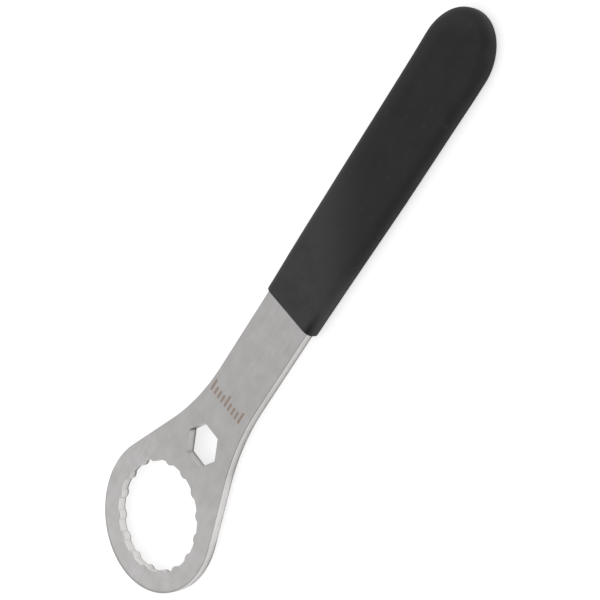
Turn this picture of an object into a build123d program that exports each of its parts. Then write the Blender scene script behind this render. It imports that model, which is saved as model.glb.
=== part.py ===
"""Bottom bracket wrench: a flat steel plate with a toothed ring, and a dipped vinyl grip.

Millimetres. The origin is the centre of the toothed socket, halfway through the plate.
+X runs along the handle, +Y across it, and +Z out of the plate's upper face.
"""

from build123d import *
import math
import os

os.makedirs("parts", exist_ok=True)

# The steel plate, cut as a flat blank with its edges just broken
plate_thickness = 4.0
plate_edge_break = 0.2

# The bearing cup that the ring turns, and the clearance round it
cup_diameter = 44.0
cup_clearance = 0.2

# Teeth that drop into the cup's notches: each is a lobe with a round tip
tooth_count = 16
tooth_height = 0.95
tooth_tip_radius = 2.8
tooth_root_radius = 0.4

# The ring's wall, measured from the socket between two teeth
ring_wall = 8.1

# Hexagonal hole for a crank bolt, with two flats square to the handle
bolt_across_flats = 15.0
bolt_clearance = 0.1
bolt_web = 8.55
bolt_corner_radius = 0.3

# The neck: straight flanks that leave the ring and sweep into the shank
neck_flank_angle = 22.0
neck_blend_radius = 88.0

# The shank: the bare stretch between the neck and the grip
shank_width = 24.7
bare_shank_length = 39.0

# The dipped grip: the coat gathers towards the end that hung lowest in the dip
grip_length = 131.7
grip_face_wall = 1.6
grip_mouth_wall = 1.5
grip_shoulder_wall = 2.35
grip_tip_wall = 3.0
grip_tip_length = 17.6
grip_edge_radius = 2.8
grip_lip_radius = 0.3

# A quarter of an ellipse drawn as a Bezier curve has handles of this share of its half axes
QUARTER_ELLIPSE_HANDLE = 0.5523

# Worked out from the sizes above
half_plate = plate_thickness / 2
half_shank = shank_width / 2
half_grip = half_plate + grip_face_wall

socket_radius = cup_diameter / 2 + cup_clearance
ring_radius = socket_radius + ring_wall
tooth_centre_radius = socket_radius - tooth_height + tooth_tip_radius

hexagon_inradius = bolt_across_flats / 2 + bolt_clearance
hexagon_x = socket_radius + bolt_web + hexagon_inradius

# Each flank touches the ring, and would meet the shank's side at a corner if nothing blended it
flank = math.radians(neck_flank_angle)
neck_corner_x = ring_radius / math.sin(flank) - half_shank / math.tan(flank)
neck_end_x = neck_corner_x + neck_blend_radius * math.tan(flank / 2)

grip_mouth_x = neck_end_x + bare_shank_length
grip_tip_x = grip_mouth_x + grip_length
grip_shoulder_x = grip_tip_x - grip_tip_length
half_mouth = half_shank + grip_mouth_wall
half_shoulder = half_shank + grip_shoulder_wall

# The shank ends in a half circle inside the grip
shank_round_x = grip_tip_x - grip_tip_wall - half_shank


# The plate: ring, neck and shank in one outline, with the toothed socket and the hexagon cut out
with BuildPart() as wrench_plate:
    with BuildSketch(Plane.XY.offset(-half_plate)) as blank:
        with BuildLine():
            ring_arc = CenterArc((0, 0), ring_radius, 180, -90 - neck_flank_angle)
            flank_line = Line(ring_arc @ 1, (neck_corner_x, half_shank))
            shank_side = Line(flank_line @ 1, (shank_round_x, half_shank))
            CenterArc((shank_round_x, 0), half_shank, 90, -90)
            mirror(about=Plane.XZ)
        make_face()
        neck_corners = blank.vertices().filter_by(lambda corner: abs(corner.X - neck_corner_x) < 0.01)
        fillet(neck_corners, radius=neck_blend_radius)
        Circle(socket_radius, mode=Mode.SUBTRACT)
        with PolarLocations(tooth_centre_radius, tooth_count):
            Circle(tooth_tip_radius)
        tooth_roots = blank.vertices().filter_by(lambda corner: math.hypot(corner.X, corner.Y) < socket_radius + 0.01)
        fillet(tooth_roots, radius=tooth_root_radius)
        with Locations((hexagon_x, 0)):
            with BuildSketch(mode=Mode.PRIVATE) as hexagon:
                RegularPolygon(hexagon_inradius, 6, major_radius=False, rotation=30)
                fillet(hexagon.vertices(), radius=bolt_corner_radius)
            add(hexagon.sketch, mode=Mode.SUBTRACT)
    extrude(amount=plate_thickness)
    chamfer(wrench_plate.faces().filter_by(Axis.Z).edges(), length=plate_edge_break)

# The grip: a coat dipped over the shank, round at its tip and along its edges, cut square at its mouth
with BuildPart() as grip:
    with BuildSketch(Plane.XY.offset(-half_grip)):
        with BuildLine():
            mouth_line = Line((grip_mouth_x, 0), (grip_mouth_x, half_mouth))
            side_line = Line(mouth_line @ 1, (grip_shoulder_x, half_shoulder))
            Bezier(
                side_line @ 1,
                side_line @ 1 + side_line % 1 * (QUARTER_ELLIPSE_HANDLE * grip_tip_length),
                (grip_tip_x, QUARTER_ELLIPSE_HANDLE * half_shoulder),
                (grip_tip_x, 0),
            )
            mirror(about=Plane.XZ)
        make_face()
    extrude(amount=2 * half_grip)
    mouth_face = grip.faces().sort_by(Axis.X)[0]
    long_edges = grip.faces().filter_by(Axis.Z).edges() - mouth_face.edges()
    fillet(long_edges, radius=grip_edge_radius)
    fillet(grip.faces().sort_by(Axis.X)[0].edges(), radius=grip_lip_radius)
    add(wrench_plate.part, mode=Mode.SUBTRACT)

wrench_plate.part.label = "wrench_plate"
export_step(wrench_plate.part, "parts/wrench_plate.step")

grip.part.label = "grip"
export_step(grip.part, "parts/grip.step")
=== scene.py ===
"""Bottom bracket wrench: the looks of its steel plate and its dipped vinyl grip.

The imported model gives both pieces' places. The plate is modelled again with the edges that a
punch leaves, and the grip as the uneven coat that a dip leaves, each in the place of its solid.
Lengths are in metres, and sizes named with _mm are millimetres.
"""

import logging
from dataclasses import dataclass
from enum import Enum
from math import acos, atan2, cos, degrees, exp, pi, radians, sin, tan
from typing import NamedTuple

import bmesh
import bpy
from bmesh.types import BMesh, BMLayerItem, BMVert
from bpy.types import Material, Node, NodeSocket, NodeTree, Object
from mathutils import Matrix, Vector, noise
from mathutils.geometry import tessellate_polygon


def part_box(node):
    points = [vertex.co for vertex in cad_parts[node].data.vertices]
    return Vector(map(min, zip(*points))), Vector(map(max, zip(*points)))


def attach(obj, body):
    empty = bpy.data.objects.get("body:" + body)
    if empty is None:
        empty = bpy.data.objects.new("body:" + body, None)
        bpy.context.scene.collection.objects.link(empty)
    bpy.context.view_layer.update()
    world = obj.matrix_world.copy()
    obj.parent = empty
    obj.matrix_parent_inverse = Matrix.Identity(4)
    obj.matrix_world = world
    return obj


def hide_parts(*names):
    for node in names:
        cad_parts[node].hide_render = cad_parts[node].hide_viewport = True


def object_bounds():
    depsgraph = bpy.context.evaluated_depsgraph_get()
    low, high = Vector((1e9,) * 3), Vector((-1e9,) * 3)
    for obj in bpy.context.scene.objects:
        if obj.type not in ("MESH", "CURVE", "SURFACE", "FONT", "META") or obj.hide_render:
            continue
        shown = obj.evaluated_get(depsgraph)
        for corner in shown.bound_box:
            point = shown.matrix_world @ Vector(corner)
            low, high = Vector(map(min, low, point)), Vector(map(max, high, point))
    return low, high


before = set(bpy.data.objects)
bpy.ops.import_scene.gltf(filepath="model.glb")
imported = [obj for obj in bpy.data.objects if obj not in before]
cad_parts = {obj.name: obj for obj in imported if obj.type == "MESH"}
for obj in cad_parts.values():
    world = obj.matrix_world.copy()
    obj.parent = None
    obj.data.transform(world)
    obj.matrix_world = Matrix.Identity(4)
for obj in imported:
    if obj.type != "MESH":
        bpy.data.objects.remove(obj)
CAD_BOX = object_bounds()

LOG = logging.getLogger("bottom_bracket_wrench")
MM = 0.001
BODY = "root"
PLATE_NODE = "wrench_plate"
GRIP_NODE = "grip"

# Handles of a Bezier quarter of an ellipse, as a share of its half axes
QUARTER_ELLIPSE_HANDLE = 0.5523

Pair = tuple[float, float]
Triple = tuple[float, float, float]
Colour = tuple[float, float, float, float]
Value = float | str | tuple[float, ...]
Source = Node | NodeSocket

WHITE: Colour = (1.0, 1.0, 1.0, 1.0)
BUMP_STRENGTH = 0.5

# Noise seldom leaves the middle of its range, so a map takes only that
SHARP_NOISE = (0.35, 0.65)
WORN_NOISE = (0.34, 0.66)
SOFT_NOISE = (0.30, 0.70)


class RimPoint(NamedTuple):
    """One point of a blanked outline."""

    place: Vector
    outward: Vector
    # How much painted shade lies at this point, as in a corner
    recess: float

    def mirrored(self) -> "RimPoint":
        """Return the same point on the other side of the handle's middle line."""
        place, outward = self.place, self.outward
        return RimPoint(Vector((place.x, -place.y)), Vector((outward.x, -outward.y)), self.recess)


class Station(NamedTuple):
    """One station down a blanked edge, from the upper face to the lower one."""

    inset: float
    height: float
    ragged: float
    wall: float
    torn_and_shaded: float


class Punching(NamedTuple):
    """How the punch left a stretch of edge, in millimetres and shares."""

    arris_width: float
    arris_depth: float
    # The arris shade is painted shade along the rolled arris; the shine is partly a painted
    # highlight
    arris_shade: float = 0.0
    shine: float = 0.0
    shine_at_tear: float = 0.0
    tear_height: float = 0.0
    painted_shade: float = 0.0


class Cut(NamedTuple):
    """One stroke of the punch: the edge where it ran tight in its die, and where it ran slack."""

    tight: Punching
    slack: Punching
    tightest_mm: Pair = (0.0, 0.0)
    tight_reach_mm: float = 0.0
    slack_reach_mm: float = 1.0


Outline = list[RimPoint]


class Slot(Enum):
    """The record's material slots."""

    STEEL = "steel"
    VINYL = "vinyl"


class EdgePart(Enum):
    """Parts of the plate's edge, each a share from nought to one at every vertex."""

    WALL = "wall"
    TORN = "torn_and_shaded"
    # Where painted shade lies in corners, hollows and on slack torn parts
    RECESS = "recess"


def linear(hex_colour: str) -> Colour:
    """Turn an sRGB hex colour into linear light.

    Args:
        hex_colour: A colour such as "#c8c5c2".

    Returns:
        Red, green, blue and an alpha of one.
    """
    channels = [int(hex_colour[i:i + 2], 16) / 255 for i in (1, 3, 5)]
    red, green, blue = (
        c / 12.92 if c <= 0.04045 else ((c + 0.055) / 1.055) ** 2.4 for c in channels
    )
    return red, green, blue, 1.0


def add_node(
    tree: NodeTree,
    kind: str,
    links: dict[str | int, Source] | None = None,
    values: dict[str | int, Value] | None = None,
    **settings: Value,
) -> Node:
    """Add a node with its settings, unlinked values and links.

    Args:
        tree: The node tree that gets the node.
        kind: The node's type without its prefix, such as "TexNoise".
        links: Sockets, or nodes by their first output, that feed this node's inputs.
        values: Values of unlinked inputs, by their name or number.
        **settings: The node's own properties, such as operation.

    Returns:
        The new node.
    """
    node = tree.nodes.new("ShaderNode" + kind)
    for name, setting in settings.items():
        setattr(node, name, setting)
    for socket, value in (values or {}).items():
        node.inputs[socket].default_value = value
    for socket, source in (links or {}).items():
        output = source.outputs[0] if isinstance(source, Node) else source
        tree.links.new(output, node.inputs[socket])
    return node


def mapped(low: float, high: float, bottom: float = 0.0, top: float = 1.0) -> dict[str, float]:
    """Return the values of a map, from a range of what it takes to a range of what it gives."""
    return {"From Min": low, "From Max": high, "To Min": bottom, "To Max": top}


def new_tree(name: str) -> tuple[Material, NodeTree]:
    """Make a material with an empty node tree.

    Args:
        name: The material's name.

    Returns:
        The material and its node tree.
    """
    material = bpy.data.materials.new(name)
    material.use_nodes = True
    material.node_tree.nodes.clear()
    return material, material.node_tree


@dataclass(frozen=True)
class PunchedStainlessSteel:
    """Stainless sheet, punched and tumbled: a soft grey sheen, clouded, with faint rolling lines.

    The punch burnishes the upper part of each wall, which shines in streaks, and tears the lower
    part, which is dull. The burnished colour is partly a painted highlight, and the torn part
    darkens downwards partly by painted shade. Painted shade lies in the corners and hollows, along
    the arrises and on a band along the neck.
    """

    name: str = "punched_stainless_steel"
    light: str = "#bfbebe"
    dark: str = "#b4b1b0"
    # Partly the burnished band's own finish, partly a painted highlight
    burnished_highlight: str = "#dfdddc"
    # Partly the dull fracture's own tone, partly painted shade that darkens it towards the lower
    # face
    torn_and_shaded: str = "#93918f"
    # Painted shade in corners, hollows and on the slack torn parts
    painted_shade: str = "#3f3c3a"
    # Painted shade on a band along the neck
    neck_shade: str = "#a9a6a5"
    neck_shade_share: float = 0.32
    neck_shade_middle_mm: float = 53.0
    neck_shade_half_length_mm: float = 40.0
    evenly_shaded: float = 0.4
    face_roughness: float = 0.40
    cloud_roughness: float = 0.04
    wall_roughness: float = 0.28
    torn_roughness: float = 0.60
    # Rolling lines of real sheet are under 0.1 mm apart: they are drawn coarser so that they show
    line_pitch_mm: float = 0.36
    line_length_mm: float = 12.0
    line_share: float = 0.45
    streak_dimmest: float = 0.5
    streak_pitch_mm: float = 0.45
    streak_length_mm: float = 14.0
    cloud_mm: float = 6.0
    grain_mm: float = 0.5
    relief_mm: float = 0.014

    def build(self) -> Material:
        """Return the material with its nodes."""
        material, tree = new_tree(self.name)
        place = add_node(tree, "TexCoord").outputs["Object"]
        line, streak = self.line_length_mm, self.streak_length_mm
        lines = self._grooves(tree, place, line, self.line_pitch_mm, self.line_pitch_mm)
        streaks = self._grooves(tree, place, streak, streak, self.streak_pitch_mm)
        cloud, grain = (
            add_node(
                tree, "TexNoise", {"Vector": place},
                {"Scale": 1 / (size * MM), "Detail": detail, "Roughness": fineness},
            )
            for size, detail, fineness in ((self.cloud_mm, 4.0, 0.55), (self.grain_mm, 2.0, 0.5))
        )
        wall, torn_and_shaded, recess = (
            add_node(tree, "Attribute", attribute_name=part.value).outputs["Fac"]
            for part in EdgePart
        )
        worn = add_node(tree, "Mix", {2: cloud, 3: lines}, {"Factor": self.line_share})
        clouded = add_node(tree, "MapRange", {"Value": worn}, mapped(*WORN_NOISE))
        tone = add_node(
            tree, "Mix", {"Factor": clouded}, {6: linear(self.dark), 7: linear(self.light)},
            data_type="RGBA",
        )
        streak_map = mapped(*SHARP_NOISE, self.streak_dimmest)
        shine = add_node(tree, "MapRange", {"Value": streaks}, streak_map)
        streaked = add_node(tree, "Math", {0: wall, 1: shine}, operation="MULTIPLY")
        # The neck band and corner colour are painted shade; the burnished and torn colours are
        # partly painted highlight and painted shade
        for share, colour in (
            (self._neck_shading(tree, place), self.neck_shade),
            (streaked, self.burnished_highlight),
            (torn_and_shaded, self.torn_and_shaded),
            (recess, self.painted_shade),
        ):
            tone = add_node(
                tree, "Mix", {"Factor": share, 6: tone.outputs[2]}, {7: linear(colour)},
                data_type="RGBA",
            )
        rough, spread = self.face_roughness, self.cloud_roughness
        rough_map = mapped(*SOFT_NOISE, rough + spread, rough - spread)
        roughness = add_node(tree, "MapRange", {"Value": cloud}, rough_map)
        for share, value in ((wall, self.wall_roughness), (torn_and_shaded, self.torn_roughness)):
            roughness = add_node(tree, "Mix", {"Factor": share, 2: roughness}, {3: value})
        face_height = add_node(tree, "Math", {0: lines, 1: grain}, operation="ADD")
        height = add_node(tree, "Mix", {"Factor": wall, 2: face_height, 3: streaks})
        relief = {"Strength": BUMP_STRENGTH, "Distance": self.relief_mm * MM}
        bump = add_node(tree, "Bump", {"Height": height}, relief)
        shader = add_node(
            tree, "BsdfPrincipled",
            {"Base Color": tone.outputs[2], "Roughness": roughness, "Normal": bump},
            {"Metallic": 1.0},
        )
        add_node(tree, "OutputMaterial", {"Surface": shader})
        return material

    def _neck_shading(self, tree: NodeTree, place: NodeSocket) -> Node:
        """Return a mask of painted shade along the neck, even in its middle.

        Args:
            tree: The material's node tree.
            place: Object coordinates.

        Returns:
            The mask.
        """
        along = add_node(tree, "SeparateXYZ", {"Vector": place})
        middle, reach = self.neck_shade_middle_mm * MM, self.neck_shade_half_length_mm * MM
        off = add_node(tree, "Math", {0: along}, {1: middle}, operation="SUBTRACT")
        away = add_node(tree, "Math", {0: off}, operation="ABSOLUTE")
        return add_node(
            tree, "MapRange", {"Value": away},
            mapped(self.evenly_shaded * reach, reach, self.neck_shade_share, 0.0),
            interpolation_type="SMOOTHSTEP",
        )

    @staticmethod
    def _grooves(tree: NodeTree, place: NodeSocket, *size_mm: float) -> Node:
        """Return fine noise that is drawn out along the longest of its three sizes.

        Args:
            tree: The material's node tree.
            place: Object coordinates.
            *size_mm: The noise's sizes along X, Y and Z.

        Returns:
            The noise.
        """
        scale = tuple(1 / (size * MM) for size in size_mm)
        drawn = add_node(tree, "Mapping", {"Vector": place}, {"Scale": scale})
        return add_node(tree, "TexNoise", {"Vector": drawn}, {"Scale": 1.0, "Detail": 3.0})


@dataclass(frozen=True)
class DippedVinyl:
    """Plastisol dipped and cured: charcoal, dull, faintly dimpled and clouded by handling.

    A painted sheen lightens it near the mouth, with painted rim light along its +Y edge and painted
    light round the tip. Painted shade darkens its -Y side and a crease at the mouth's -Y corner,
    and the bench has left small pale scuffs.
    """

    mouth_x: float
    tip_x: float
    name: str = "dipped_vinyl"
    charcoal: str = "#292929"
    smudge: str = "#212121"
    # Painted sheen near the mouth, painted rim light along the +Y edge and painted light round the
    # tip
    painted_sheen: str = "#3f3f3f"
    scuff: str = "#464646"
    # Painted shade on the -Y side
    side_shade: str = "#191919"
    # Painted shade of a crease at the mouth's -Y corner
    crease_shade: str = "#0f0f0f"
    roughness: float = 0.62
    roughness_spread: float = 0.06
    ior: float = 1.3
    sheen_direction: Triple = (1.0, -1.2, 0.0)
    sheen_length_mm: float = 22.0
    sheen_fade_mm: float = 38.0
    sheen_ragged_mm: float = 34.0
    sheen_thinnest: float = 0.62
    rim_light_share: float = 0.30
    rim_light_mm: Pair = (7.0, 12.0)
    tip_light_direction: Triple = (1.0, 0.5, 0.0)
    tip_light_share: float = 0.30
    tip_light_mm: Pair = (-10.0, -2.0)
    side_shade_share: float = 0.75
    side_shade_mm: Pair = (-12.3, -14.2)
    crease_shade_share: float = 0.95
    crease_shade_place_mm: Pair = (0.5, -12.6)
    crease_shade_reach_mm: Pair = (11.0, 2.2)
    dimple_mm: float = 1.6
    # The cured skin's own grain is finer than a tenth of a millimetre, and is drawn coarser
    grain_mm: float = 0.30
    grain_share: float = 0.35
    smudge_mm: float = 8.0
    scuff_spacing_mm: float = 6.0
    scuff_bend_mm: float = 2.0
    scuff_share: float = 0.28
    speck_width: float = 0.16
    scratch_width: float = 0.10
    scratch_length_mm: float = 14.0
    scratch_slant_degrees: float = 35.0
    relief_mm: float = 0.030

    def build(self) -> Material:
        """Return the material with its nodes."""
        material, tree = new_tree(self.name)
        place = add_node(tree, "TexCoord").outputs["Object"]
        dimples, grain, smudges = (
            add_node(
                tree, "TexNoise", {"Vector": place},
                {"Scale": 1 / (size * MM), "Detail": detail, "Roughness": fineness},
            )
            for size, detail, fineness in (
                (self.dimple_mm, 2.0, 0.5), (self.grain_mm, 2.0, 0.5), (self.smudge_mm, 6.0, 0.62)
            )
        )
        clouded = add_node(tree, "MapRange", {"Value": smudges}, mapped(*SHARP_NOISE))
        tone = add_node(
            tree, "Mix", {"Factor": clouded}, {6: linear(self.smudge), 7: linear(self.charcoal)},
            data_type="RGBA",
        )
        for share, colour in (
            *self._strips(tree, place),
            (self._mouth_sheen(tree, place, smudges, clouded), self.painted_sheen),
            (self._scuffs(tree, place, smudges.outputs["Color"]), self.scuff),
            (self._crease_shade(tree, place), self.crease_shade),
        ):
            tone = add_node(
                tree, "Mix", {"Factor": share, 6: tone.outputs[2]}, {7: linear(colour)},
                data_type="RGBA",
            )
        rough, spread = self.roughness, self.roughness_spread
        rough_map = mapped(*SOFT_NOISE, rough - spread, rough + spread)
        roughness = add_node(tree, "MapRange", {"Value": smudges}, rough_map)
        height = add_node(
            tree, "Math", {0: grain, 2: dimples}, {1: self.grain_share}, operation="MULTIPLY_ADD"
        )
        relief = {"Strength": BUMP_STRENGTH, "Distance": self.relief_mm * MM}
        bump = add_node(tree, "Bump", {"Height": height}, relief)
        shader = add_node(
            tree, "BsdfPrincipled",
            {"Base Color": tone.outputs[2], "Roughness": roughness, "Normal": bump},
            {"IOR": self.ior},
        )
        add_node(tree, "OutputMaterial", {"Surface": shader})
        return material

    def _strips(self, tree: NodeTree, place: NodeSocket) -> list[tuple[Node, str]]:
        """Return masks of the painted shade on the -Y side, the painted rim light on the +Y edge
        and the painted light round the tip.

        Args:
            tree: The material's node tree.
            place: Object coordinates.

        Returns:
            Each mask with its colour.
        """
        across, past_tip = (0.0, 1.0, 0.0), self.tip_light_direction
        strips = []
        for way, start, (bare, full), share, colour in (
            (across, 0.0, self.side_shade_mm, self.side_shade_share, self.side_shade),
            (across, 0.0, self.rim_light_mm, self.rim_light_share, self.painted_sheen),
            (past_tip, self.tip_x, self.tip_light_mm, self.tip_light_share, self.painted_sheen),
        ):
            along = add_node(tree, "VectorMath", {0: place}, {1: way}, operation="DOT_PRODUCT")
            strip = add_node(
                tree, "MapRange", {"Value": along.outputs["Value"]},
                mapped(start + bare * MM, start + full * MM, 0.0, share),
                interpolation_type="SMOOTHSTEP",
            )
            strips.append((strip, colour))
        return strips

    def _mouth_sheen(self, tree: NodeTree, place: NodeSocket, smudges: Node, clouded: Node) -> Node:
        """Return a mask of the painted sheen: mottled, and fading from the mouth, sooner on the -Y
        side.

        Args:
            tree: The material's node tree.
            place: Object coordinates.
            smudges: The noise that makes it fade unevenly.
            clouded: The same noise stretched from nought to one, which mottles it.

        Returns:
            The mask.
        """
        away = add_node(
            tree, "VectorMath", {0: place}, {1: self.sheen_direction}, operation="DOT_PRODUCT"
        )
        uneven = add_node(
            tree, "Math", {0: smudges, 2: away.outputs["Value"]}, {1: self.sheen_ragged_mm * MM},
            operation="MULTIPLY_ADD",
        )
        near = self.mouth_x + (self.sheen_length_mm + self.sheen_ragged_mm / 2) * MM
        fading = add_node(
            tree, "MapRange", {"Value": uneven},
            mapped(near, near + self.sheen_fade_mm * MM, 1.0, 0.0), interpolation_type="SMOOTHSTEP",
        )
        mottles = mapped(0.0, 1.0, self.sheen_thinnest)
        mottled = add_node(tree, "MapRange", {"Value": clouded}, mottles)
        return add_node(tree, "Math", {0: fading, 1: mottled}, operation="MULTIPLY")

    def _crease_shade(self, tree: NodeTree, place: NodeSocket) -> Node:
        """Return a mask of painted shade, as of a crease, along the edge at the mouth's -Y corner.

        Args:
            tree: The material's node tree.
            place: Object coordinates.

        Returns:
            The mask.
        """
        (x, y), (along, across) = self.crease_shade_place_mm, self.crease_shade_reach_mm
        corner = (self.mouth_x + x * MM, y * MM, 0.0)
        off = add_node(tree, "VectorMath", {0: place}, {1: corner}, operation="SUBTRACT")
        drawn = add_node(
            tree, "VectorMath", {0: off},
            {1: (1 / (along * MM), 1 / (across * MM), 0.0)}, operation="MULTIPLY",
        )
        away = add_node(tree, "VectorMath", {0: drawn}, operation="LENGTH")
        return add_node(
            tree, "MapRange", {"Value": away.outputs["Value"]},
            mapped(1.0, 0.0, 0.0, self.crease_shade_share), interpolation_type="SMOOTHSTEP",
        )

    def _scuffs(self, tree: NodeTree, place: NodeSocket, bends: NodeSocket) -> Node:
        """Return a mask of the scuffs: specks, and a few short scratches at a slant to the handle.

        Args:
            tree: The material's node tree.
            place: Object coordinates.
            bends: The noise that bends them out of shape.

        Returns:
            The mask.
        """
        size, bend = self.scuff_spacing_mm * MM, self.scuff_bend_mm * MM
        length = self.scratch_length_mm * MM
        bent = add_node(
            tree, "VectorMath", {0: bends, 2: place}, {1: (bend, bend, bend)},
            operation="MULTIPLY_ADD",
        )
        slant = radians(self.scratch_slant_degrees)
        drawn = add_node(
            tree, "Mapping", {"Vector": bent},
            {"Rotation": (0.0, 0.0, slant), "Scale": (1 / size, 1 / length, 1 / size)},
        )
        specks, scratches = (
            add_node(
                tree, "MapRange",
                {"Value": add_node(tree, "TexVoronoi", {"Vector": field}, {"Scale": scale})},
                mapped(width, 0.0, 0.0, self.scuff_share), interpolation_type="SMOOTHSTEP",
            )
            for field, scale, width in (
                (bent, 1 / size, self.speck_width), (drawn, 1.0, self.scratch_width)
            )
        )
        return add_node(tree, "Math", {0: specks, 1: scratches}, operation="MAXIMUM")


@dataclass(frozen=True)
class HeatTint:
    """Steel annealed by a laser: a thin brown oxide that dulls the sheen under it."""

    name: str = "laser_heat_tint"
    brown: str = "#94857a"
    pale_brown: str = "#ac9d91"
    metallic: float = 0.85
    roughness: float = 0.5
    speckle_mm: float = 0.5

    def build(self) -> Material:
        """Return the material with its nodes."""
        material, tree = new_tree(self.name)
        place = add_node(tree, "TexCoord").outputs["Object"]
        speckle = add_node(
            tree, "TexNoise", {"Vector": place},
            {"Scale": 1 / (self.speckle_mm * MM), "Detail": 3.0},
        )
        tone = add_node(
            tree, "Mix", {"Factor": speckle}, {6: linear(self.brown), 7: linear(self.pale_brown)},
            data_type="RGBA",
        )
        shader = add_node(
            tree, "BsdfPrincipled", {"Base Color": tone.outputs[2]},
            {"Metallic": self.metallic, "Roughness": self.roughness},
        )
        add_node(tree, "OutputMaterial", {"Surface": shader})
        return material


@dataclass(frozen=True)
class StudioPaper:
    """White background paper: matt, with a lift that only the camera and reflections see."""

    name: str = "studio_paper"
    white: str = "#f0f0f0"
    lift: float = 0.52

    def build(self) -> Material:
        """Return the material with its nodes."""
        material, tree = new_tree(self.name)
        path = add_node(tree, "LightPath")
        seen = path.outputs["Is Camera Ray"]
        for ray in ("Is Glossy Ray", "Is Transmission Ray"):
            seen = add_node(tree, "Math", {0: seen, 1: path.outputs[ray]}, operation="MAXIMUM")
        strength = add_node(tree, "Math", {0: seen}, {1: self.lift}, operation="MULTIPLY")
        lift = add_node(tree, "Emission", {"Strength": strength}, {"Color": WHITE})
        paper = add_node(tree, "BsdfDiffuse", values={"Color": linear(self.white)})
        lifted = add_node(tree, "AddShader", {0: paper, 1: lift})
        add_node(tree, "OutputMaterial", {"Surface": lifted})
        return material


def finish_piece(
    shape: BMesh, name: str, material: Material, smooth: bool = True
) -> Object:
    """Make an object of a shape, dress it and let it ride on the tool.

    Args:
        shape: The piece's shape in the tool's frame, which is freed.
        name: The piece's name.
        material: Its finish.
        smooth: Whether its faces are shaded as one skin.

    Returns:
        The new object.
    """
    for face in shape.faces:
        face.smooth = smooth
    mesh = bpy.data.meshes.new(name)
    shape.to_mesh(mesh)
    shape.free()
    mesh.materials.append(material)
    piece = bpy.data.objects.new(name, mesh)
    bpy.context.scene.collection.objects.link(piece)
    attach(piece, BODY)
    LOG.info("%s: %d faces", name, len(mesh.polygons))
    return piece


def join_rows(shape: BMesh, rows: list[list[BMVert]]) -> None:
    """Add the faces between closed rows of vertices, from each row to the next.

    Args:
        shape: The mesh under construction.
        rows: The rows, which all have the same number of vertices.
    """
    for row, after in zip(rows, rows[1:]):
        for i in range(len(row)):
            j = (i + 1) % len(row)
            shape.faces.new((row[i], row[j], after[j], after[i]))


def smooth_step(share: float) -> float:
    """Return a share eased at both ends, held between nought and one."""
    held = max(0.0, min(1.0, share))
    return held * held * (3 - 2 * held)


def arc(
    centre: Vector,
    radius: float,
    start: float,
    end: float,
    steps: int,
    hollow: bool = False,
    recess: float = 0.0,
) -> Outline:
    """Return points along an arc, with normals that point out of the steel.

    Args:
        centre: The arc's centre.
        radius: Its radius.
        start: The angle of its first point.
        end: The angle of its last point.
        steps: How many runs it is divided into.
        hollow: Whether the steel lies outside the arc.
        recess: How much of a corner its middle is, where painted shade lies.

    Returns:
        The arc's points.
    """
    points = []
    for k in range(steps + 1):
        share = k / steps
        angle = start + (end - start) * share
        ray = Vector((cos(angle), sin(angle)))
        depth = recess * sin(pi * share)
        points.append(RimPoint(centre + ray * radius, -ray if hollow else ray, depth))
    return points


def between(first: RimPoint, last: RimPoint, step: float) -> Outline:
    """Return the points of a straight run, without its two ends.

    Args:
        first: The point that it leaves.
        last: The point that it reaches.
        step: About how far apart the points are.

    Returns:
        The run's inner points.
    """
    count = max(2, round((last.place - first.place).length / step))
    places = (first.place.lerp(last.place, k / count) for k in range(1, count))
    return [RimPoint(place, first.outward, 0.0) for place in places]


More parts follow.
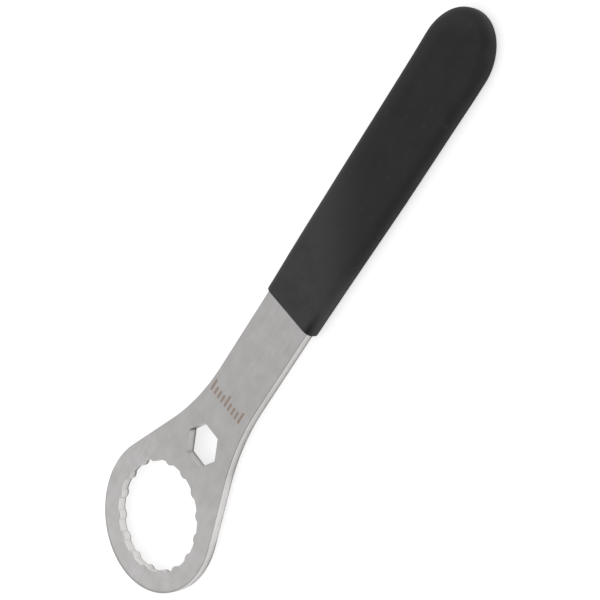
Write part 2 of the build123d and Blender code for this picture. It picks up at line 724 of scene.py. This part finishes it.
@dataclass
class WrenchPlate:
    """The steel blank: toothed ring, neck and shank, with the edges that a punch leaves.

    The punch rolls the upper arris over, burnishes most of the wall, and tears the rest. Where it
    ran tight in its die, it tore less, and the wall carries more painted highlight and less painted
    shade. The tumbling rubbed one side of the blank, which widens its arris, and painted shade
    darkens that arris.
    """

    tooth_count: int = 16
    tooth_height_mm: float = 0.95
    tooth_tip_radius_mm: float = 2.8
    tooth_root_radius_mm: float = 0.4
    socket_radius_mm: float = 22.2
    ring_wall_mm: float = 8.1
    hexagon_x_mm: float = 38.35
    hexagon_inradius_mm: float = 7.6
    hexagon_corner_mm: float = 0.3
    flank_degrees: float = 22.0
    blend_radius_mm: float = 88.0
    shank_width_mm: float = 24.7
    # The shine and arris shade that change between the tight and the slack stretch are painted
    # highlight and painted shade
    blank_cut: Cut = Cut(
        tight=Punching(
            0.25, 0.18, arris_shade=0.20, shine=0.80, shine_at_tear=0.75, tear_height=-1.30
        ),
        slack=Punching(
            0.42, 0.22, arris_shade=0.50, shine=0.55, shine_at_tear=0.10, tear_height=-0.45
        ),
        tightest_mm=(25.0, -24.6),
        tight_reach_mm=9.0,
        slack_reach_mm=19.0,
    )
    # Round the socket, the shine and shade that change between the tight and the slack side are
    # painted highlight and painted shade
    socket_cut: Cut = Cut(
        tight=Punching(0.07, 0.07, shine=1.0, shine_at_tear=0.85, tear_height=-1.30),
        slack=Punching(0.16, 0.12, tear_height=-0.40, painted_shade=0.45),
        tightest_mm=(-20.9, 7.6),
        tight_reach_mm=9.6,
        slack_reach_mm=33.0,
    )
    # The small hexagon was punched with even clearance all round
    hexagon_punching: Punching = Punching(
        0.05, 0.05, shine=0.5, shine_at_tear=0.3, tear_height=-0.70, painted_shade=0.35
    )
    # The side that tumbling rubbed: its arris is wider, and darker by painted shade
    rubbed_side: Pair = (-0.97, 0.10)
    rubbed_spread: float = 2.4
    rubbed_side_shade: float = 0.3
    # Painted shade in the hollow roots of the teeth and round the hexagon's corners
    root_recess: float = 0.15
    shaded_corner_degrees: int = 90
    deep_shade: float = 0.7
    faint_shade: float = 0.25
    corner_shade_mm: float = 0.5
    spread_shade_mm: float = 8.0
    tear_ragged_mm: float = 0.3
    tear_wave_mm: float = 4.5
    tear_slope_mm: float = 0.18
    tear_fade_mm: float = 0.3
    fade_raggedness: float = 0.5
    torn_stations: tuple[float, ...] = (0.0, 0.35, 0.7)
    burr_break_mm: float = 0.16
    flat_margin_mm: float = 0.25
    rollover_steps: int = 6
    burr_steps: int = 3
    ring_steps: int = 64
    blend_steps: int = 26
    end_steps: int = 20
    lobe_steps: int = 10
    root_steps: int = 4
    land_steps: int = 5
    run_step_mm: float = 2.0
    hexagon_step_mm: float = 0.5

    def __post_init__(self) -> None:
        """Read the plate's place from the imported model."""
        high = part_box(PLATE_NODE)[1]
        self.half_thickness = high.z
        self.ring_radius = (self.socket_radius_mm + self.ring_wall_mm) * MM
        self.half_shank = self.shank_width_mm * MM / 2
        self.end_centre_x = high.x - self.half_shank

    def build(self) -> Object:
        """Return the plate as one closed piece that stands for its solid."""
        shape = bmesh.new()
        for part in EdgePart:
            shape.verts.layers.float.new(part.value)
        rims = [
            self._wall(shape, self._outer(), self.blank_cut),
            self._wall(shape, self._socket(), self.socket_cut),
            self._wall(shape, self._hexagon(), Cut(self.hexagon_punching, self.hexagon_punching)),
        ]
        for side in (0, -1):
            self._face(shape, [rim[side] for rim in rims])
        bmesh.ops.recalc_face_normals(shape, faces=shape.faces)
        piece = finish_piece(shape, "steel_plate", PunchedStainlessSteel().build())
        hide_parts(PLATE_NODE)
        return piece

    def _outer(self) -> Outline:
        """Return the blank's outline, from the ring's far side round the handle and back."""
        flank = radians(self.flank_degrees)
        blend = self.blend_radius_mm * MM
        corner_x = self.ring_radius / sin(flank) - self.half_shank / tan(flank)
        blend_end = Vector((corner_x + blend * tan(flank / 2), self.half_shank + blend))
        quarter = pi / 2
        ring = arc(Vector((0.0, 0.0)), self.ring_radius, pi, quarter - flank, self.ring_steps)
        sweep = arc(blend_end, blend, -quarter - flank, -quarter, self.blend_steps, hollow=True)
        end = arc(Vector((self.end_centre_x, 0.0)), self.half_shank, quarter, 0.0, self.end_steps)
        run = self.run_step_mm * MM
        flank_run, shank_run = between(ring[-1], sweep[0], run), between(sweep[-1], end[0], run)
        upper = ring + flank_run + sweep + shank_run + end
        return upper + [point.mirrored() for point in reversed(upper[1:-1])]

    def _socket(self) -> Outline:
        """Return the toothed socket: lands on the socket's circle, and lobes with hollow roots."""
        socket, tip = self.socket_radius_mm * MM, self.tooth_tip_radius_mm * MM
        root = self.tooth_root_radius_mm * MM
        lobe_x = socket - self.tooth_height_mm * MM + tip
        reach, span = socket - root, tip + root
        swing = acos((reach ** 2 + lobe_x ** 2 - span ** 2) / (2 * reach * lobe_x))
        root_centre = Vector((reach * cos(swing), reach * sin(swing)))
        lean = atan2(root_centre.y, root_centre.x - lobe_x)
        pitch = 2 * pi / self.tooth_count
        lobe = arc(Vector((lobe_x, 0.0)), tip, 2 * pi - lean, lean, self.lobe_steps)
        hollow = arc(root_centre, root, lean - pi, swing, self.root_steps, True, self.root_recess)
        land = arc(Vector((0.0, 0.0)), socket, swing, pitch - swing, self.land_steps, hollow=True)
        entry = [point.mirrored() for point in reversed(hollow)]
        tooth = entry[:-1] + lobe[:-1] + hollow[:-1] + land[:-1]
        loop = []
        for k in range(self.tooth_count):
            turn = Matrix.Rotation(k * pitch, 2)
            loop += [RimPoint(turn @ p.place, turn @ p.outward, p.recess) for p in tooth]
        return loop

    def _hexagon(self) -> Outline:
        """Return the bolt's hexagon, with two flats square to the handle."""
        corner, middle_x = self.hexagon_corner_mm * MM, self.hexagon_x_mm * MM
        half_side = pi / 6
        reach = (self.hexagon_inradius_mm * MM - corner) / cos(half_side)
        run = self.hexagon_step_mm * MM
        loop = []
        for k in range(6):
            turn = half_side + k * pi / 3
            centre = Vector((middle_x + reach * cos(turn), reach * sin(turn)))
            bend = arc(centre, corner, turn - half_side, turn + half_side, self.root_steps, True)
            if loop:
                loop += between(loop[-1], bend[0], run)
            loop += bend
        loop += between(loop[-1], loop[0], run)
        return [point._replace(recess=self._corner_shade(point.place)) for point in loop]

    def _corner_shade(self, place: Vector) -> float:
        """Return the painted shade at a point of the hexagon: deep and spread from one corner only.
        """
        off = place - Vector((self.hexagon_x_mm * MM, 0.0))
        angle = degrees(atan2(off.y, off.x)) % 360
        corner = 60 * round((angle - 30) / 60) + 30
        away = off.length * sin(radians(angle - corner)) / MM
        if corner != self.shaded_corner_degrees:
            return self.faint_shade * exp(-((away / self.corner_shade_mm) ** 2))
        reach = self.corner_shade_mm if away > 0 else self.spread_shade_mm
        return self.deep_shade * exp(-((away / reach) ** 2))

    def _stations(self, punching: Punching, rubbed: float) -> list[Station]:
        """Return how a blanked edge runs down from the upper face to the lower one.

        Args:
            punching: How the punch left this stretch of edge.
            rubbed: How much of the rubbed side it is, which widens its arris and darkens it with
                painted shade.

        Returns:
            The stations in order.
        """
        width = punching.arris_width * (1 + self.rubbed_spread * rubbed) * MM
        depth = punching.arris_depth * MM
        shade_share = punching.arris_shade + self.rubbed_side_shade * rubbed
        burr, slope = self.burr_break_mm * MM, self.tear_slope_mm * MM
        margin, tear = self.flat_margin_mm * MM, punching.tear_height * MM
        top, bottom = self.half_thickness, -self.half_thickness
        faint = punching.shine * punching.shine_at_tear
        stations = [Station(width + margin, top, 0.0, 0.0, 0.0)]
        for k in range(self.rollover_steps + 1):
            share = k / self.rollover_steps
            turn = pi / 2 * share
            inset, drop = width * (1 - sin(turn)), depth * (1 - cos(turn))
            # Painted shade along the rolled arris
            shaded = shade_share * sin(2 * turn)
            stations.append(Station(inset, top - drop, 0.0, punching.shine * share ** 2, shaded))
        fade = tear + self.tear_fade_mm * MM
        stations.append(Station(0.0, fade, self.fade_raggedness, faint, 0.0))
        for share in self.torn_stations:
            height = tear + (bottom + burr - tear) * share
            # Darker towards the lower face: partly the dull fracture, partly painted shade
            torn_and_shaded = 1 - (1 - share) ** 2
            stations.append(Station(slope * share, height, 1.0 - share, faint * (1 - share), torn_and_shaded))
        for k in range(self.burr_steps + 1):
            turn = pi / 2 * k / self.burr_steps
            inset, rise = slope + burr * (1 - cos(turn)), burr * (1 - sin(turn))
            stations.append(Station(inset, bottom + rise, 0.0, 0.0, 1 - k / self.burr_steps))
        stations.append(Station(slope + burr + margin, bottom, 0.0, 0.0, 0.0))
        return stations

    def _wall(self, shape: BMesh, loop: Outline, cut: Cut) -> list[list[BMVert]]:
        """Add the edge along one outline.

        Args:
            shape: The mesh under construction.
            loop: The outline.
            cut: How the punch cut it.

        Returns:
            The rows of vertices, from the upper face to the lower face.
        """
        layers = [shape.verts.layers.float[part.value] for part in EdgePart]
        columns = [self._column(shape, point, cut, layers) for point in loop]
        rows = [list(row) for row in zip(*columns)]
        join_rows(shape, rows)
        return rows

    def _column(
        self, shape: BMesh, point: RimPoint, cut: Cut, layers: list[BMLayerItem]
    ) -> list[BMVert]:
        """Add the vertices of the edge at one point of an outline.

        Args:
            shape: The mesh under construction.
            point: The outline's point.
            cut: How the punch cut the outline.
            layers: The mesh's layers for the parts of the edge.

        Returns:
            The vertices, from the upper face to the lower face.
        """
        away = (point.place - Vector(cut.tightest_mm) * MM).length / MM
        slack = smooth_step((away - cut.tight_reach_mm) / (cut.slack_reach_mm - cut.tight_reach_mm))
        painted_shade = cut.tight.painted_shade + (cut.slack.painted_shade - cut.tight.painted_shade) * slack
        rubbed = max(0.0, point.outward.dot(Vector(self.rubbed_side)))
        rise = self._raggedness(point.place)
        column = []
        tight, loose = self._stations(cut.tight, rubbed), self._stations(cut.slack, rubbed)
        for first, second in zip(tight, loose):
            station = Station(*(a + (b - a) * slack for a, b in zip(first, second)))
            place = point.place - point.outward * station.inset
            vertex = shape.verts.new((place.x, place.y, station.height + station.ragged * rise))
            # Painted shade: in corners on the wall, and on the torn part of a slack stretch
            recess = max(point.recess if station.wall else 0.0, painted_shade * station.torn_and_shaded)
            for layer, share in zip(layers, (station.wall, station.torn_and_shaded, recess)):
                vertex[layer] = share
            column.append(vertex)
        return column

    def _raggedness(self, place: Vector) -> float:
        """Return how far the tear starts above or below its usual height at a place."""
        wave = place / (self.tear_wave_mm * MM)
        long_wave = noise.noise(Vector((wave.x, wave.y, 0.0)))
        # From another level of the noise, four times as fine and a third as high
        short_wave = noise.noise(Vector((wave.x, wave.y, 9.0)) * 4)
        return (long_wave + short_wave / 3) * self.tear_ragged_mm * MM

    @staticmethod
    def _face(shape: BMesh, rims: list[list[BMVert]]) -> None:
        """Fill a flat face between the outer rim and the rims of its holes.

        Args:
            shape: The mesh under construction.
            rims: The rims' vertices, the outer one first.
        """
        corners = [vertex for rim in rims for vertex in rim]
        triangles = tessellate_polygon([[vertex.co for vertex in rim] for rim in rims])
        fill = [shape.faces.new([corners[i] for i in triangle]) for triangle in triangles]
        bmesh.ops.recalc_face_normals(shape, faces=fill)
        filled = set(fill)
        seams = [edge for edge in shape.edges if filled.issuperset(edge.link_faces)]
        # Points in one line along the shank leave flat slivers unless the seams are turned
        bmesh.ops.beautify_fill(shape, faces=fill, edges=seams)


@dataclass
class HeatTintScale:
    """A plain row of strokes across the neck, marked in the steel by heat."""

    centre_x_mm: float = 60.3
    centre_y_mm: float = 1.2
    strokes: int = 9
    pitch_mm: float = 2.3
    width_mm: float = 1.15
    long_mm: float = 5.4
    short_mm: float = 3.6
    long_every: int = 4
    proud_mm: float = 0.008
    round_steps: int = 8

    def build(self) -> Object:
        """Return the row of strokes as one piece."""
        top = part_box(PLATE_NODE)[1].z
        shape = bmesh.new()
        for k in range(self.strokes):
            across = (self.centre_y_mm + (k - (self.strokes - 1) / 2) * self.pitch_mm) * MM
            length = (self.long_mm if k % self.long_every == 0 else self.short_mm) * MM
            self._stroke(shape, across, length, top)
        return finish_piece(shape, "heat_tint_scale", HeatTint().build(), smooth=False)

    def _stroke(self, shape: BMesh, across: float, length: float, top: float) -> None:
        """Add one stroke with round ends, as a thin closed film let into the steel.

        Args:
            shape: The mesh under construction.
            across: The stroke's place along Y.
            length: Its length along X.
            top: The height of the plate's upper face.
        """
        radius = self.width_mm * MM / 2
        foot = (self.centre_x_mm - self.long_mm / 2) * MM + radius
        head = foot + length - 2 * radius
        loop = []
        for centre, start in ((head, -pi / 2), (foot, pi / 2)):
            for step in range(self.round_steps + 1):
                angle = start + pi * step / self.round_steps
                loop.append((centre + radius * cos(angle), across + radius * sin(angle)))
        proud = self.proud_mm * MM
        lower, upper = (
            [shape.verts.new((x, y, top + rise)) for x, y in loop] for rise in (-proud, proud)
        )
        shape.faces.new(upper)
        shape.faces.new(lower[::-1])
        join_rows(shape, [lower, upper])


@dataclass
class DippedGrip:
    """The vinyl coat: round along its edges and at its tip, with a small lip at its mouth."""

    shank_width_mm: float = 24.7
    mouth_wall_mm: float = 1.5
    tip_wall_mm: float = 3.0
    tip_length_mm: float = 17.6
    edge_radius_mm: float = 2.8
    # The coat slumped off its upper edges as it cured, so they are wider than they are deep
    upper_edge_spread: float = 1.2
    lip_radius_mm: float = 0.3
    core_radius_mm: float = 0.2
    # The dip hung askew: its tip leans, one side bellies out, and the other is thin at the mouth
    lean_mm: float = 0.52
    lean_length_mm: float = 31.0
    drip_mm: float = 0.20
    drip_length_mm: float = 18.0
    belly_mm: float = 0.26
    belly_middle_mm: float = 62.0
    belly_half_length_mm: float = 42.0
    pinch_mm: float = 0.25
    pinch_length_mm: float = 30.0
    long_wave_mm: float = 24.0
    long_swell_mm: float = 0.05
    short_wave_mm: float = 7.0
    short_swell_mm: float = 0.018
    side_steps: int = 90
    core_steps: int = 12
    tip_steps: int = 32
    edge_steps: int = 10
    across_steps: int = 18
    lip_steps: int = 5
    mouth_steps: int = 3
    merge_mm: float = 0.002
    sliver_mm: float = 0.001
    sharp_degrees: float = 50.0

    def __post_init__(self) -> None:
        """Read the coat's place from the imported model."""
        low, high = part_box(GRIP_NODE)
        self.mouth_x, self.tip_x = low.x, high.x
        self.half_height, self.half_shoulder = high.z, high.y
        self.core_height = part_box(PLATE_NODE)[1].z
        self.half_shank = self.shank_width_mm * MM / 2

    def build(self) -> Object:
        """Return the coat as one closed piece that stands for the grip's solid."""
        core, body = (
            [self._ring(place, outward, height, radius * MM) for place, outward in side]
            for side, height, radius in (
                (self._core_side(), self.core_height, self.core_radius_mm),
                (self._outer_side(), self.half_height, self.edge_radius_mm),
            )
        )
        lip = self._lip()
        mouth = [
            [a.lerp(b, step / self.mouth_steps) for a, b in zip(core[0], lip[0])]
            for step in range(1, self.mouth_steps)
        ]
        inside = core[::-1] + mouth
        shape = self._skin(inside + lip + body, len(inside))
        vinyl = DippedVinyl(self.mouth_x, self.tip_x).build()
        piece = finish_piece(shape, "dipped_grip", vinyl)
        piece.data.set_sharp_from_angle(angle=radians(self.sharp_degrees))
        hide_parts(GRIP_NODE)
        return piece

    def _lip(self) -> list[list[Vector]]:
        """Return the loops of the lip, from the mouth's face to where the side begins."""
        lip, edge = self.lip_radius_mm * MM, self.edge_radius_mm * MM
        start, outward = self._outer_side()[0]
        corner = start - Vector((lip, 0.0, 0.0))
        loops = []
        for step in range(self.lip_steps):
            turn = pi / 2 * step / self.lip_steps
            shrink = lip * (1 - sin(turn))
            place = corner - outward * shrink + Vector((lip * (1 - cos(turn)), 0.0, 0.0))
            loops.append(self._ring(place, outward, self.half_height - shrink, edge - shrink))
        return loops

    def _outer_side(self) -> list[tuple[Vector, Vector]]:
        """Return the coat's plan outline on the +Y side, from lip to tip, with its normals."""
        length = self.tip_length_mm * MM
        half_mouth = self.half_shank + self.mouth_wall_mm * MM
        start = Vector((self.mouth_x + self.lip_radius_mm * MM, half_mouth, 0.0))
        shoulder = Vector((self.tip_x - length, self.half_shoulder, 0.0))
        along = (shoulder - start).normalized()
        outward = Vector((-along.y, along.x, 0.0))
        steps = self.side_steps
        side = [(start.lerp(shoulder, i / steps), outward) for i in range(steps)]
        tip = Vector((self.tip_x, 0.0, 0.0))
        handles = (
            shoulder,
            shoulder + along * (QUARTER_ELLIPSE_HANDLE * length),
            tip + Vector((0.0, QUARTER_ELLIPSE_HANDLE * shoulder.y, 0.0)),
            tip,
        )
        return side + [self._bezier(handles, i / self.tip_steps) for i in range(self.tip_steps + 1)]

    def _core_side(self) -> list[tuple[Vector, Vector]]:
        """Return the cavity's plan outline on the +Y side, from mouth to tip, with its normals."""
        round_x = self.tip_x - self.tip_wall_mm * MM - self.half_shank
        outward = Vector((0.0, 1.0, 0.0))
        side = []
        for i in range(self.core_steps):
            x = self.mouth_x + (round_x - self.mouth_x) * i / self.core_steps
            side.append((Vector((x, self.half_shank, 0.0)), outward))
        for i in range(self.core_steps + 1):
            turn = pi / 2 * (1 - i / self.core_steps)
            normal = Vector((cos(turn), sin(turn), 0.0))
            side.append((Vector((round_x, 0.0, 0.0)) + normal * self.half_shank, normal))
        return side

    @staticmethod
    def _bezier(handles: tuple[Vector, Vector, Vector, Vector], t: float) -> tuple[Vector, Vector]:
        """Return a point of a cubic Bezier curve and its outward normal.

        Args:
            handles: The curve's four control points.
            t: The place along the curve, from nought to one.

        Returns:
            The point, and the unit normal on the curve's left.
        """
        a, b, c, d = handles
        s = 1 - t
        point = a * s ** 3 + b * (3 * s * s * t) + c * (3 * s * t * t) + d * t ** 3
        slope = ((b - a) * (s * s) + (c - b) * (2 * s * t) + (d - c) * (t * t)).normalized()
        return point, Vector((-slope.y, slope.x, 0.0))

    def _ring(
        self, place: Vector, outward: Vector, half_height: float, radius: float
    ) -> list[Vector]:
        """Return one loop round the coat: over the top, down the -Y edge, under and up again.

        Args:
            place: The widest point of the loop on the +Y side.
            outward: The outline's normal there.
            half_height: Half the loop's height.
            radius: The radius of its long edges.

        Returns:
            The loop's points, the same number for every loop.
        """
        edge = []
        for step in range(self.edge_steps + 1):
            turn = pi / 2 * step / self.edge_steps
            inset, drop = radius * (1 - sin(turn)), radius * (1 - cos(turn))
            edge.append((inset, half_height - drop))
        down = [(self.upper_edge_spread * inset, height) for inset, height in edge]
        down += [(inset, -height) for inset, height in reversed(edge)]
        near = []
        for inset, height in down:
            point = place - outward * inset
            near.append(Vector((point.x, point.y, height)))
        far = [Vector((p.x, -p.y, p.z)) for p in near]
        share = [i / self.across_steps for i in range(1, self.across_steps)]
        top = [near[0].lerp(far[0], s) for s in share]
        under = [far[-1].lerp(near[-1], s) for s in share]
        return near[::-1] + top + far + under

    def _skin(self, rings: list[list[Vector]], first_outer: int) -> BMesh:
        """Join the loops into one closed skin, and give its outside the unevenness of the dip.

        Args:
            rings: The loops in order, from the cavity's tip out to the coat's tip.
            first_outer: The number of the first loop on the outside.

        Returns:
            The coat's shape.
        """
        shape = bmesh.new()
        rows = [[shape.verts.new(p) for p in ring] for ring in rings]
        join_rows(shape, rows)
        outside = [vertex for row in rows[first_outer:] for vertex in row]
        bmesh.ops.recalc_face_normals(shape, faces=shape.faces)
        shape.normal_update()
        for vertex in outside:
            vertex.co += vertex.normal * self._swell(vertex.co) + self._sway(vertex.co)
            # The grip lies on its underside, so nothing swells below that
            vertex.co.z = max(vertex.co.z, -self.half_height)
        bmesh.ops.remove_doubles(shape, verts=shape.verts, dist=self.merge_mm * MM)
        bmesh.ops.dissolve_degenerate(shape, edges=shape.edges, dist=self.sliver_mm * MM)
        bmesh.ops.recalc_face_normals(shape, faces=shape.faces)
        return shape

    def _swell(self, place: Vector) -> float:
        """Return how far the coat stands out at a place, because the dip ran unevenly."""
        even = Vector((place.x, abs(place.y), place.z))
        long_wave = noise.noise(even / (self.long_wave_mm * MM)) * self.long_swell_mm
        short_wave = noise.noise(even / (self.short_wave_mm * MM)) * self.short_swell_mm
        return (long_wave + short_wave) * MM

    def _sway(self, place: Vector) -> Vector:
        """Return how far a place of the coat lies off, because the dip hung askew and ran down."""
        side = max(-1.0, min(1.0, place.y / self.half_shank))
        past_mouth, before_tip = (place.x - self.mouth_x) / MM, (self.tip_x - place.x) / MM
        lean = self.lean_mm * smooth_step(1 - before_tip / self.lean_length_mm)
        off_middle = abs(past_mouth - self.belly_middle_mm) / self.belly_half_length_mm
        belly = -self.belly_mm * smooth_step(1 - off_middle) * (1 - side) / 2
        pinch = -self.pinch_mm * smooth_step(1 - past_mouth / self.pinch_length_mm) * (1 + side) / 2
        drip = self.drip_mm * smooth_step(1 - before_tip / self.drip_length_mm) * (1 + side) / 2
        return Vector((drip, lean + belly + pinch, 0.0)) * MM


@dataclass
class ViewingCamera:
    """The camera at the photograph's angle, found from the plate's own outline."""

    place_mm: Triple = (403.13, -327.78, 487.02)
    aim_mm: Triple = (112.17, -0.23, 0.0)
    upward: Triple = (0.7525, 0.6586, -0.0066)
    lens_mm: float = 108.0
    sensor_mm: float = 36.0
    clip_start: float = 0.01

    def build(self) -> Object:
        """Return the camera, set as the scene's own."""
        data = bpy.data.cameras.new("viewing_camera")
        data.lens = self.lens_mm
        data.sensor_width = self.sensor_mm
        data.clip_start = self.clip_start
        camera = bpy.data.objects.new("viewing_camera", data)
        bpy.context.scene.collection.objects.link(camera)
        place, aim = Vector(self.place_mm) * MM, Vector(self.aim_mm) * MM
        back = (place - aim).normalized()
        right = Vector(self.upward).cross(back).normalized()
        turn = Matrix((right, back.cross(right), back)).transposed().to_4x4()
        camera.matrix_world = Matrix.Translation(place) @ turn
        bpy.context.scene.camera = camera
        distance = (place - aim).length / MM
        LOG.info("%s: %.0f mm lens, %.0f mm from the tool", camera.name, self.lens_mm, distance)
        return camera


@dataclass(frozen=True)
class Softbox:
    """One square soft lamp that looks at the tool's middle."""

    name: str
    place: Triple
    side: float
    power: float

    def build(self, aim: Vector) -> None:
        """Hang the lamp.

        Args:
            aim: The point that it looks at.
        """
        data = bpy.data.lights.new(self.name, "AREA")
        data.shape = "SQUARE"
        data.size = self.side
        data.energy = self.power
        lamp = bpy.data.objects.new(self.name, data)
        bpy.context.scene.collection.objects.link(lamp)
        lamp.location = Vector(self.place)
        lamp.rotation_euler = (Vector(self.place) - aim).to_track_quat("Z", "Y").to_euler()
        LOG.info("%s: %.1f W", self.name, self.power)


@dataclass
class Studio:
    """A white paper floor, a pale room and soft lamps."""

    floor_side: float = 8.0
    # The paper gives a little, so that it and the grip's flat underside don't lie in one plane
    floor_gap_mm: float = 0.02
    pale: float = 1.43
    dim: float = 0.57
    dim_side: Triple = (0.15, 0.0, 0.99)
    pale_until: float = 0.15
    dim_from: float = 0.72
    lamps: tuple[Softbox, ...] = (
        Softbox("key_softbox", place=(-0.66, 0.46, 0.70), side=0.6, power=0.35),
    )

    def build(self) -> None:
        """Lay the floor, and light the tool."""
        self._floor()
        self._room()
        low, high = CAD_BOX
        for lamp in self.lamps:
            lamp.build((low + high) / 2)

    def _floor(self) -> None:
        """Lay the paper under the tool's lowest point."""
        half, low = self.floor_side / 2, CAD_BOX[0].z - self.floor_gap_mm * MM
        mesh = bpy.data.meshes.new("paper_floor")
        corners = [(-half, -half, low), (half, -half, low), (half, half, low), (-half, half, low)]
        mesh.from_pydata(corners, [], [(0, 1, 2, 3)])
        mesh.materials.append(StudioPaper().build())
        floor = bpy.data.objects.new("paper_floor", mesh)
        bpy.context.scene.collection.objects.link(floor)

    def _room(self) -> None:
        """Light the room: pale at its sides, dim overhead, and plain white to the camera."""
        world = bpy.data.worlds.new("pale_room")
        bpy.context.scene.world = world
        world.use_nodes = True
        tree = world.node_tree
        tree.nodes.clear()
        direction = add_node(tree, "TexCoord").outputs["Generated"]
        towards = add_node(
            tree, "VectorMath", {0: direction}, {1: self.dim_side}, operation="DOT_PRODUCT"
        )
        strength = add_node(
            tree, "MapRange", {"Value": towards.outputs["Value"]},
            mapped(self.pale_until, self.dim_from, self.pale, self.dim),
        )
        room = add_node(tree, "Background", {"Strength": strength}, {"Color": WHITE})
        white = add_node(tree, "Background", values={"Color": WHITE, "Strength": 1.0})
        seen = add_node(tree, "LightPath").outputs["Is Camera Ray"]
        mix = add_node(tree, "MixShader", {0: seen, 1: room, 2: white})
        add_node(tree, "OutputWorld", {"Surface": mix})


def main() -> None:
    """Build the scene piece by piece."""
    logging.basicConfig(level=logging.INFO, format="%(name)s: %(message)s")
    bpy.context.scene.view_settings.view_transform = "Standard"
    ViewingCamera().build()
    WrenchPlate().build()
    HeatTintScale().build()
    DippedGrip().build()
    Studio().build()


if __name__ == "__main__":
    main()
